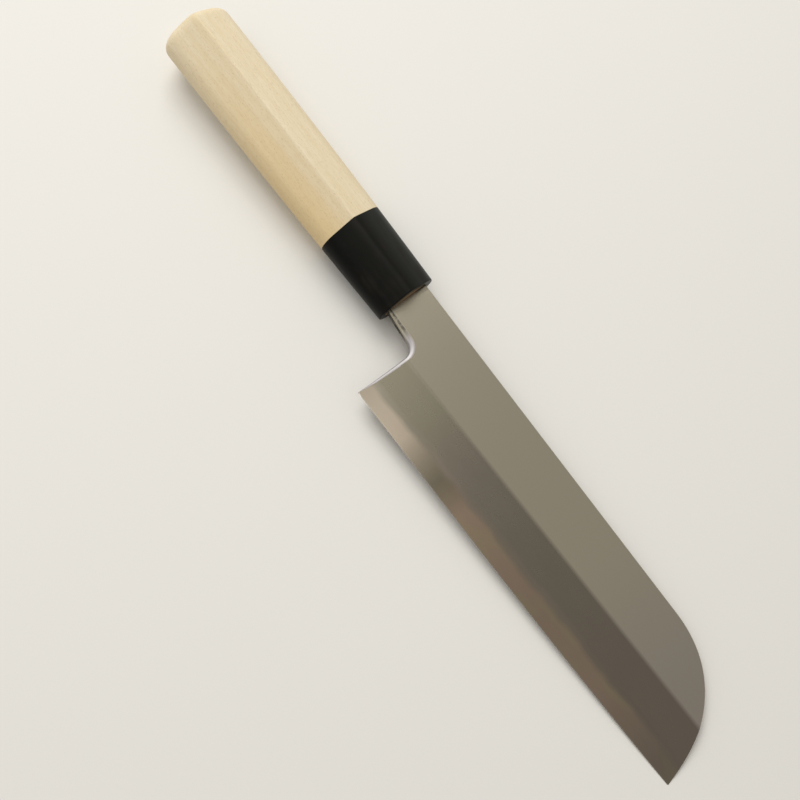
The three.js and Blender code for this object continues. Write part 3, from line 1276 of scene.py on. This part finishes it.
    def outline(self) -> tuple[np.ndarray, np.ndarray]:
        """The blade's outline, anticlockwise from the heel.

        Returns:
            The points, and how far the face is eased at each.
        """
        edge_end = self.tip[0] - self.tip_round
        edge_x = straight(self.heel[:1], (edge_end,), self.coarse_step)[:, 0]
        edge = np.column_stack((edge_x, self.edge_at(edge_x)))
        round_start = (edge_end, self.edge_at(edge_end))
        point = bezier((round_start, self.tip, self.sickle[0]), self.tip_points)
        mouth_top = (0.0, self.spine_rise)
        mouth_low = (0.0, -self.neck_drop)
        tang_top = (-self.tang_length, self.tang_end_height / 2)
        tang_low = (-self.tang_length, -self.tang_end_height / 2)
        choil_corner = np.array((self.heel[0] + self.choil_bow, -self.neck_drop - self.neck_flare))
        centre = choil_corner - self.choil_radius
        neck_end = (centre[0], choil_corner[1])
        turn = np.linspace(math.pi / 2, 0.0, self.choil_points, endpoint=False)
        choil = centre + self.choil_radius * np.column_stack((np.cos(turn), np.sin(turn)))
        foot = (choil_corner[0], centre[1])
        foot_pull = (choil_corner[0], (centre[1] + self.heel[1]) / 2)
        heel_rise = bezier((foot, foot_pull, self.heel), self.heel_points)
        eased, fully, partly = self.spine_easing, self.choil_easing, self.choil_end_easing
        runs = (
            Run(edge),
            Run(point),
            Run(bezier(self.sickle, self.sickle_points), eased, eased),
            Run(straight(self.sickle[-1], mouth_top, self.coarse_step), eased, eased),
            Run(straight(mouth_top, tang_top, self.tang_step)),
            Run(straight(tang_top, tang_low, self.tang_step)),
            Run(straight(tang_low, mouth_low, self.tang_step)),
            Run(straight(mouth_low, neck_end, self.fine_step), self.neck_easing, fully),
            Run(choil, fully, partly),
            Run(heel_rise, partly, self.heel_easing),
        )
        points = np.vstack([run.points for run in runs])
        easing = np.concatenate([np.linspace(run.start, run.end, len(run.points)) for run in runs])
        body = self.face(points[:, 0], points[:, 1]) - self.back
        return points, np.minimum(easing, self.most_eased * np.clip(body, 0.0, None))

    def rows(self, outline: np.ndarray, easing: np.ndarray) -> list[np.ndarray]:
        """The rows that the plan's triangles follow.

        Args:
            outline: the blade's outline.
            easing: how far the face is eased at each point of it.

        Returns:
            Polylines for the eased edges, the ridge, the seam, the hollow and the weld's start.
        """
        along = np.roll(outline, -1, axis=0) - np.roll(outline, 1, axis=0)
        along /= np.linalg.norm(along, axis=1)[:, None]
        inward = np.column_stack((-along[:, 1], along[:, 0]))
        rows: list[np.ndarray] = []
        eased = easing > self.least_easing
        for start in np.flatnonzero(eased & ~np.roll(eased, 1)):
            length = int(np.argmin(np.roll(eased, -start)))
            run = (start + np.arange(length)) % len(outline)
            for share in self.easing_rows:
                rows.append(outline[run] + inward[run] * (easing[run] * share)[:, None])
        first = self.heel[0] - self.row_overrun
        last = self.tip[0] + self.row_overrun
        x = np.arange(first, last, self.coarse_step)
        for aside in self.ridge_rows:
            rows.append(np.column_stack((x, self.ridge_at(x) + aside)))
        x = np.arange(first, last, self.weld_step)
        rows.append(np.column_stack((x, self.seam_at(x))))
        start, end = self.hollow_ends()
        x = start + (end - start) * np.sin(np.linspace(0.0, math.pi / 2, self.hollow_columns))
        low, high = self.hollow_sides(x)
        for across in np.linspace(0.0, 1.0, self.hollow_rows):
            rows.append(np.column_stack((x, low + (high - low) * across)))
        rows.append(np.array(((start, low[0]), (start, high[0]))))
        rows.append(np.array(((self.weld_start, self.heel[1]), (self.weld_start, 2 * self.spine_rise))))
        return rows

    def nearest(self, points: np.ndarray, outline: np.ndarray, easing: np.ndarray) -> np.ndarray:
        """Distance from the outline and easing there.

        Args:
            points: plan points.
            outline: the blade's outline.
            easing: how far the face is eased at each point of it.

        Returns:
            Two columns, the distance and the easing.
        """
        side = np.roll(outline, -1, axis=0) - outline
        change = np.roll(easing, -1) - easing
        square = (side ** 2).sum(axis=1)
        found = np.empty((len(points), 2))
        for number, point in enumerate(points):
            share = np.clip(((point - outline) * side).sum(axis=1) / square, 0.0, 1.0)
            gap = np.linalg.norm(outline + side * share[:, None] - point, axis=1)
            best = int(np.argmin(gap))
            found[number] = gap[best], easing[best] + change[best] * share[best]
        return found

    def eased_drop(self, distance: np.ndarray, width: np.ndarray) -> np.ndarray:
        """How far an eased edge lowers the surface: a rounded rim, with a soft chamfer if wide.

        Args:
            distance: how far each place is from the outline.
            width: how far in the edge is eased there.

        Returns:
            The drop at each place.
        """
        radius = np.minimum(width, self.rim_radius)
        inset = np.clip(radius - distance, 0.0, None)
        rounded = radius - np.sqrt(np.clip(radius ** 2 - inset ** 2, 0.0, None))
        run = np.clip(width - distance, 0.0, None)
        blend = np.minimum(run, self.chamfer_blend)
        wide = np.clip(width / self.rim_radius - 1, 0.0, 1.0)
        slid = run - blend + blend ** 2 / (2 * self.chamfer_blend)
        return rounded + wide * self.chamfer_slope * slid

    def eased_face(self, plan: Plan, rim: np.ndarray) -> np.ndarray:
        """Height of the face with its edges eased, over each point of a plan."""
        return self.face(*plan.points.T) - self.eased_drop(*rim.T)

    def marks(self, plan: Plan, rim: np.ndarray) -> dict[Mark, np.ndarray]:
        """Works out what the shaders read off the blade.

        Args:
            plan: the blade's plan.
            rim: each point's distance from the outline and the easing there.

        Returns:
            A number for each of the plan's points, by mark.
        """
        x, y = plan.points.T
        reach = rim[:, 0] / np.clip(rim[:, 1], self.nearly_none, None)
        behind_heel = (y < 0.0) & (x < self.heel[0] + self.polish_past_heel)
        eased = np.where(behind_heel, np.interp(reach, self.polish_fade, (1.0, 0.0)), 0.0)
        # Scale and painted shade on the neck's eased edge, with its outer rim left bare.
        scale_and_shade_left = np.interp(reach, self.scale_and_shade_reach, (0.0, 1.0))
        polished = np.interp(x, self.polished_along, (0.0, 1.0))
        return {
            Mark.BEVEL: np.clip(0.5 + (self.ridge_at(x) - y) / self.bevel_blend, 0.0, 1.0),
            Mark.POLISH: eased * polished,
            Mark.SCUFF_AND_SHADE: eased * scale_and_shade_left * (1 - polished),
            Mark.ABOVE_WELD: y - self.seam_at(x),
            Mark.ABOVE_EDGE: y - self.edge_at(x),
        }

    def build(self) -> None:
        """Makes the iron and the steel as two closed bodies that meet at the weld."""
        outline, easing = self.outline()
        plan = Plan.from_rows(outline, self.rows(outline, easing))
        face = self.eased_face(plan, self.nearest(plan.points, outline, easing))
        plan, on_seam = plan.cut_at_zero(face - self.weld_at(plan.points[:, 0]), self.weld_snap)
        rim = self.nearest(plan.points, outline, easing)
        x, y = plan.points.T
        weld = self.weld_at(x)
        face = np.where(on_seam, weld, self.eased_face(plan, rim))
        hollowed = self.back + self.hollow(x, y) + self.taper_at(x)
        back = hollowed + self.eased_drop(rim[:, 0], self.back_easing_share * rim[:, 1])
        centres = plan.centres()
        laminated = centres[:, 0] > self.weld_start
        above = (face - weld)[plan.triangles].sum(axis=1) > 0
        face_patch = np.full(len(centres), int(Patch.FACE))
        weld_patch = np.full(len(centres), int(Patch.WELD))
        back_patch = np.where(self.in_hollow(*centres.T), int(Patch.HOLLOW), int(Patch.BACK))
        iron_top = np.where(x < self.weld_start, face, np.maximum(face, weld))
        iron_bottoms = (Bottom(~laminated, back, back_patch), Bottom(laminated, weld, weld_patch))
        iron = Shell(plan, above | ~laminated, iron_top, face_patch, iron_bottoms)
        steel_patch = np.where(above, weld_patch, face_patch)
        steel_bottoms = (Bottom(laminated, back, back_patch),)
        steel = Shell(plan, laminated, np.minimum(face, weld), steel_patch, steel_bottoms)
        marks = self.marks(plan, rim)
        self.iron_mesh = iron.mesh("blade_iron", self.layout, marks)
        self.steel_mesh = steel.mesh("blade_steel", self.layout, marks)

    def dress(self) -> None:
        """Gives both pieces their finish and puts them in place."""
        self.iron_mesh.materials.append(SoftIronFinish().material(self.layout))
        self.steel_mesh.materials.append(EdgeSteelFinish().material(self.layout))
        install("blade_iron", self.iron_mesh, Node.IRON)
        install("blade_steel", self.steel_mesh, Node.STEEL)


class ShapeTree(Graph):
    """A geometry tree with named sizes, which ends in one dressed mesh."""

    def __init__(self, name: str, sizes: dict[str, float]) -> None:
        """Starts a tree.

        Args:
            name: the tree's name.
            sizes: its named inputs and their values.
        """
        tree = bpy.data.node_groups.new(name, "GeometryNodeTree")
        super().__init__(tree)
        self.sizes = sizes
        tree.interface.new_socket("Mesh", in_out="OUTPUT", socket_type="NodeSocketGeometry")
        self.identifiers: dict[str, str] = {}
        for size in sizes:
            socket = tree.interface.new_socket(size, in_out="INPUT", socket_type="NodeSocketFloat")
            self.identifiers[size] = socket.identifier
        self.source = self.add("NodeGroupInput")

    def size(self, name: str) -> Wire:
        """One of the tree's named inputs."""
        return Wire(self, self.source.outputs[name])

    def position(self) -> list[Wire]:
        """The X, Y and Z of each point of a blank."""
        place = {"Vector": self.node("GeometryNodeInputPosition")}
        return [self.node("ShaderNodeSeparateXYZ", inputs=place, output=axis) for axis in "XYZ"]

    def moved(self, blank: Wire, coordinates: Sequence[Wire], layout: Layout) -> Wire:
        """Moves the points of a blank.

        Args:
            blank: the geometry to move.
            coordinates: each point's new X, Y and Z in layout millimetres.
            layout: where the layout lies in the frame.

        Returns:
            The geometry, in the frame's metres.
        """
        point = self.node("ShaderNodeCombineXYZ", inputs=dict(enumerate(coordinates)))
        inputs = {0: point, 1: (MM,) * 3, 2: layout.origin}
        placed = self.node("ShaderNodeVectorMath", {"operation": "MULTIPLY_ADD"}, inputs)
        return self.node("GeometryNodeSetPosition", inputs={"Geometry": blank, "Position": placed})

    def join(self, operation: Join, first: Wire, second: Wire) -> Wire:
        """Joins two closed meshes, or cuts the second out of the first.

        Args:
            operation: which of the two to do.
            first: a closed mesh.
            second: another closed mesh.

        Returns:
            The resulting mesh.
        """
        tool_socket = 1
        first_socket = tool_socket if operation is Join.UNION else 0
        settings = {"operation": operation.value, "solver": "EXACT"}
        made = self.add("GeometryNodeMeshBoolean", settings, {first_socket: first})
        self.feed(made.inputs[tool_socket], second)
        return Wire(self, made.outputs[0])

    def to_mesh(self, shape: Wire, material: bpy.types.Material, crease: float) -> bpy.types.Mesh:
        """Ends the tree and evaluates it.

        Args:
            shape: the finished geometry.
            material: its finish.
            crease: edges turned by more than this stay sharp.

        Returns:
            A plain mesh.
        """
        faces = {"Geometry": shape, "Shade Smooth": True}
        smooth = self.node("GeometryNodeSetShadeSmooth", {"domain": "FACE"}, faces)
        turned = self.node("GeometryNodeInputMeshEdgeAngle").above(crease)
        edges = {"Geometry": smooth, "Selection": turned, "Shade Smooth": False}
        creased = self.node("GeometryNodeSetShadeSmooth", {"domain": "EDGE"}, edges)
        realized = self.node("GeometryNodeRealizeInstances", inputs={"Geometry": creased})
        finish = {"Geometry": realized, "Material": material}
        dressed = self.node("GeometryNodeSetMaterial", inputs=finish)
        self.add("NodeGroupOutput", inputs={"Mesh": dressed})
        carrier = add_object(self.tree.name, bpy.data.meshes.new(self.tree.name))
        modifier = carrier.modifiers.new(self.tree.name, "NODES")
        modifier.node_group = self.tree
        for name, value in self.sizes.items():
            modifier[self.identifiers[name]] = value
        evaluated = carrier.evaluated_get(bpy.context.evaluated_depsgraph_get())
        mesh = bpy.data.meshes.new_from_object(evaluated)
        bpy.data.objects.remove(carrier)
        return mesh


@dataclass(frozen=True)
class Rounding:
    """An oval rounding at one end of a bar."""

    depth: float
    reach: float
    fullness: float = 2.0


@dataclass
class Handle:
    """The D-shaped grip and the ferrule on its tenon, both lofted from one rule."""

    layout: Layout
    length: float = 135.1
    ferrule_length: float = 34.5
    mouth_height: float = 25.2
    butt_height: float = 28.6
    barrel: float = 0.5
    mouth_ridge: float = 10.9
    butt_ridge: float = 12.4
    mouth_back: float = 9.9
    butt_back: float = 11.2
    flat_fall: float = math.radians(30)
    widest_drop: float = 0.9
    wood_crispness: float = 55.0
    horn_crispness: float = 14.0
    butt_crispness: float = 4.5
    butt_fade: float = 12.0
    butt_rounding: Rounding = Rounding(6.1, 11.5, 2.8)
    mouth_rounding: Rounding = Rounding(0.35, 0.35)
    joint_rounding: Rounding = Rounding(0.1, 0.1)
    ferrule_wall: float = 2.6
    tenon_recess: float = 0.1
    tenon_root: float = 4.0
    tenon_fit: float = 0.02
    slot_fit: float = 0.12
    slot_lead: float = 2.0
    neck_height: float = 17.7
    neck_thickness: float = 4.2
    slot_depth: float = 92.0
    slot_end_height: float = 7.0
    slot_end_thickness: float = 2.4
    crease: float = math.radians(32)
    sides_around: int = 256
    body_steps: int = 120
    tenon_steps: int = 24
    ferrule_steps: int = 80
    bore_steps: int = 12

    def sizes(self, crispness: float) -> dict[str, float]:
        """Lists the rule's sizes by the names that the trees give them.

        Args:
            crispness: how crisp the ridge is.

        Returns:
            The named sizes.
        """
        return {
            "Length": self.length,
            "Mouth Height": self.mouth_height,
            "Butt Height": self.butt_height,
            "Barrel": self.barrel,
            "Mouth Ridge": self.mouth_ridge,
            "Butt Ridge": self.butt_ridge,
            "Mouth Back": self.mouth_back,
            "Butt Back": self.butt_back,
            "Widest Drop": self.widest_drop,
            "Ridge Crispness": crispness,
            "Butt Crispness": self.butt_crispness,
            "Butt Fade": self.butt_fade,
            "Ferrule Length": self.ferrule_length,
            "Ferrule Wall": self.ferrule_wall,
        }

    def bar(
        self,
        tree: ShapeTree,
        span: tuple[Any, Any],
        inset: Any,
        ends: tuple[Rounding, Rounding],
        steps: int,
    ) -> Wire:
        """Adds a closed bar of the handle's D section.

        Args:
            tree: the tree to add it to.
            span: distances behind the mouth at which it starts and ends.
            inset: how far its surface is set in from the handle's.
            ends: roundings of its front and rear end.
            steps: sections along it.

        Returns:
            The bar's geometry, in the frame's metres.
        """
        near_axis = 1e-4
        sizes = {"Vertices": self.sides_around, "Side Segments": steps, "Radius": 1.0, "Depth": 1.0}
        blank = tree.node("GeometryNodeMeshCylinder", inputs=sizes)
        aside, up, along = tree.position()
        front, rear = span
        # The sections lie closer together towards both ends.
        share = (1 - ((along + 0.5) * math.pi).cosine()) / 2
        behind = share.blend(rear, front)
        length = tree.size("Length")
        place = behind / length
        # The barrel's swell is whole halfway along and gone at both ends.
        swell = place * (1 - place) * 4.0 * tree.size("Barrel")

        def between(name: str) -> Wire:
            """A size that changes evenly from the mouth to the butt."""
            return place.blend(tree.size(f"Mouth {name}"), tree.size(f"Butt {name}"))

        half = between("Height") / 2 + swell - inset
        drop = tree.size("Widest Drop")
        level = (between("Ridge") + swell + drop) * math.cos(self.flat_fall) - inset
        back = between("Back") + swell - drop - inset
        lean = math.sin(self.flat_fall)
        side = (level - half * lean) / (1 - lean)
        middle = half - side
        spread = (aside * aside).root()
        fade = ((behind - length) / tree.size("Butt Fade") + 1.0).at_least(0.0).at_most(1.0)
        crisp = fade.blend(tree.size("Ridge Crispness"), tree.size("Butt Crispness"))
        rising = up * math.cos(self.flat_fall)
        near = (rising + spread * lean).at_least(near_axis)
        far = (rising - spread * lean).at_least(0.0)
        flat = level / (near * (1 + (far / near) ** crisp) ** (1 / crisp))
        arc = spread * middle + (side * side - up * middle * up * middle).root()
        upper = (side * lean + middle).above(flat * spread).blend(arc, flat)
        oval = 1 / (aside / half * aside / half + up / back * up / back).root()
        radius = up.above(0.0).blend(oval, upper)
        front_cut = self._cut(front + ends[0].depth - behind, ends[0])
        rear_cut = self._cut(behind - rear + ends[1].depth, ends[1])
        scale = radius * (1 - (front_cut + rear_cut) / half)
        return tree.moved(blank, (0.0 - behind, aside * scale, up * scale - drop), self.layout)

    @staticmethod
    def _cut(past: Wire, rounding: Rounding) -> Wire:
        """Works out how far a rounding sets the surface in.

        Args:
            past: length past the place where the rounding begins.
            rounding: its sizes.

        Returns:
            How far the surface is set in.
        """
        share = (past / rounding.depth).at_least(0.0).at_most(1.0)
        kept = (1 - share ** rounding.fullness) ** (1 / rounding.fullness)
        return rounding.reach * (1 - kept)

    def slot(self, tree: ShapeTree) -> Wire:
        """Adds the tapered slot of the tang, from just outside the mouth.

        Args:
            tree: the tree to add it to.

        Returns:
            The slot's geometry, in the frame's metres.
        """
        blank = tree.node("GeometryNodeMeshCube", inputs={"Size": (1.0, 1.0, 1.0)})
        along, aside, up = tree.position()
        share = along + 0.5
        room = 2 * self.slot_fit
        x = share * (self.slot_depth + self.slot_lead) - self.slot_depth
        height = share.blend(self.slot_end_height, self.neck_height) + room
        thick = share.blend(self.slot_end_thickness, self.neck_thickness) + room
        return tree.moved(blank, (x, aside * height, up * thick), self.layout)

    def build(self) -> None:
        """Makes the grip with its tenon and tang slot, and the ferrule as a ring."""
        plain_ends = (self.joint_rounding, self.joint_rounding)
        body_ends = (self.joint_rounding, self.butt_rounding)
        ferrule_ends = (self.mouth_rounding, self.joint_rounding)
        wood = ShapeTree("wood_grip_shape", self.sizes(self.wood_crispness))
        joint = wood.size("Ferrule Length")
        body = self.bar(wood, (joint, wood.size("Length")), 0.0, body_ends, self.body_steps)
        inset = wood.size("Ferrule Wall") + self.tenon_fit
        tenon_span = (self.tenon_recess, joint + self.tenon_root)
        tenon = self.bar(wood, tenon_span, inset, plain_ends, self.tenon_steps)
        whole = wood.join(Join.UNION, body, tenon)
        slotted = wood.join(Join.DIFFERENCE, whole, self.slot(wood))
        self.grip_mesh = wood.to_mesh(slotted, MagnoliaFinish().material(self.layout), self.crease)
        horn = ShapeTree("horn_ferrule_shape", self.sizes(self.horn_crispness))
        joint = horn.size("Ferrule Length")
        outer = self.bar(horn, (0.0, joint), 0.0, ferrule_ends, self.ferrule_steps)
        bore_span = (-self.tenon_root, joint + self.tenon_root)
        bore = self.bar(horn, bore_span, horn.size("Ferrule Wall"), plain_ends, self.bore_steps)
        ring = horn.join(Join.DIFFERENCE, outer, bore)
        self.ferrule_mesh = horn.to_mesh(ring, HornFinish().material(self.layout), self.crease)

    def dress(self) -> None:
        """Puts the grip and the ferrule in place; their trees have set their finishes."""
        install("grip_wood", self.grip_mesh, Node.GRIP)
        install("ferrule_horn", self.ferrule_mesh, Node.FERRULE)


@dataclass(frozen=True)
class Softbox:
    """A square lamp that points at the blade."""

    name: str
    place: Triple
    side: float
    power: float


@dataclass
class Studio:
    """The floor that the knife lies on, the lamps and the camera."""

    layout: Layout
    floor_colour: Colour = srgb(0xE4E1DA)
    floor_size: float = 60.0
    floor_roughness: float = 0.75
    floor_pitch: Triple = (40.0, 40.0, 40.0)
    floor_mottle: float = 0.04
    world_colour: Colour = srgb(0xF2F0EC)
    world_strength: float = 0.52
    aim: Triple = (45.0, -12.0, 0.0)
    softboxes: tuple[Softbox, ...] = (
        Softbox("key_softbox", (-860.0, 330.0, 1000.0), 0.9, 11.5),
        Softbox("top_panel", (-400.0, -280.0, 1000.0), 0.8, 2.5),
    )
    camera_place: Triple = (60.5, -133.8, 427.3)
    camera_aim: Triple = (28.9, -25.8, 0.0)
    camera_right: float = math.radians(51.78)
    lens: float = 54.0
    sensor: float = 36.0
    nearest_seen: float = 0.01

    def floor(self) -> None:
        """Lays the floor under the three points that carry the knife."""
        point, normal = self.support()
        across = normal.orthogonal().normalized()
        along = normal.cross(across)
        half = self.floor_size / 2
        signs = ((-1, -1), (1, -1), (1, 1), (-1, 1))
        corners = [point + across * a * half + along * b * half for a, b in signs]
        mesh = bpy.data.meshes.new("floor")
        mesh.from_pydata(corners, [], [(0, 1, 2, 3)])
        floor = add_object("floor", mesh)
        surface = Surface("floor", self.layout)
        mottle = surface.noise(self.floor_pitch) * self.floor_mottle
        colour = surface.mix(mottle, self.floor_colour, self.world_colour)
        finish = {"Base Color": colour, "Roughness": self.floor_roughness}
        mesh.materials.append(surface.finish(finish))

    @staticmethod
    def support() -> tuple[Vector, Vector]:
        """Finds the plane that the knife lies on, by its hull and its centre of mass.

        Returns:
            A point of the plane and its upward normal.
        """
        merge_distance = 1e-6
        hull = bmesh.new()
        mass, moment = 0.0, Vector()
        for node in Node:
            body = bmesh.new()
            body.from_mesh(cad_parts[node.value].data)
            bmesh.ops.triangulate(body, faces=body.faces)
            # Each face makes a tetrahedron with the frame's origin.
            for face in body.faces:
                a, b, c = (vertex.co for vertex in face.verts)
                part = a.dot(b.cross(c)) / 6 * DENSITY[node]
                mass += part
                moment += (a + b + c) / 4 * part
            for vertex in body.verts:
                hull.verts.new(vertex.co)
            body.free()
        centre = moment / mass
        bmesh.ops.remove_doubles(hull, verts=hull.verts, dist=merge_distance)
        bmesh.ops.convex_hull(hull, input=hull.verts)
        best = (Vector(), Vector((0.0, 0.0, 1.0)))
        lowest = 0.0
        for face in hull.faces:
            normal = face.normal
            foot = centre - normal * (centre - face.verts[0].co).dot(normal)
            corners = [vertex.co for vertex in face.verts]
            sides = zip(corners, corners[1:] + corners[:1])
            turns = [(b - a).cross(foot - a).dot(normal) for a, b in sides]
            if min(turns) >= 0 and normal.z < lowest:
                lowest = normal.z
                best = (corners[0].copy(), -normal)
        hull.free()
        return best

    def light(self) -> None:
        """Sets the even world light and hangs the softboxes."""
        world = bpy.data.worlds.new("studio")
        world.use_nodes = True
        sky = world.node_tree.nodes["Background"]
        sky.inputs["Color"].default_value = self.world_colour
        sky.inputs["Strength"].default_value = self.world_strength
        bpy.context.scene.world = world
        for box in self.softboxes:
            lamp = bpy.data.lights.new(box.name, "AREA")
            lamp.shape = "SQUARE"
            lamp.size = box.side
            lamp.energy = box.power
            holder = add_object(box.name, lamp)
            holder.location = self.layout.place(box.place)
            facing = self.layout.place(self.aim) - holder.location
            holder.rotation_euler = facing.to_track_quat("-Z", "Y").to_euler()

    def camera(self) -> None:
        """Stands the camera where the photograph was taken from."""
        place = self.layout.place(self.camera_place)
        forward = (self.layout.place(self.camera_aim) - place).normalized()
        bearing = Vector((math.cos(self.camera_right), math.sin(self.camera_right), 0.0))
        bearing.z = -(bearing.x * forward.x + bearing.y * forward.y) / forward.z
        right = bearing.normalized()
        up = right.cross(forward)
        lens = bpy.data.cameras.new("camera")
        lens.sensor_width = self.sensor
        lens.lens = self.lens
        lens.clip_start = self.nearest_seen
        camera = add_object("camera", lens)
        turn = Matrix((right, up, -forward)).transposed()
        camera.matrix_world = Matrix.Translation(place) @ turn.to_4x4()
        bpy.context.scene.camera = camera
        bpy.context.scene.view_settings.view_transform = "Standard"


def main() -> None:
    """Builds the knife and the studio round it."""
    logging.basicConfig(level=logging.INFO, format="%(name)s: %(message)s")
    layout = Layout.from_frame()
    studio = Studio(layout)
    studio.camera()
    blade = Blade(layout)
    blade.build()
    blade.dress()
    handle = Handle(layout)
    handle.build()
    handle.dress()
    studio.floor()
    studio.light()


if __name__ == "__main__":
    main()
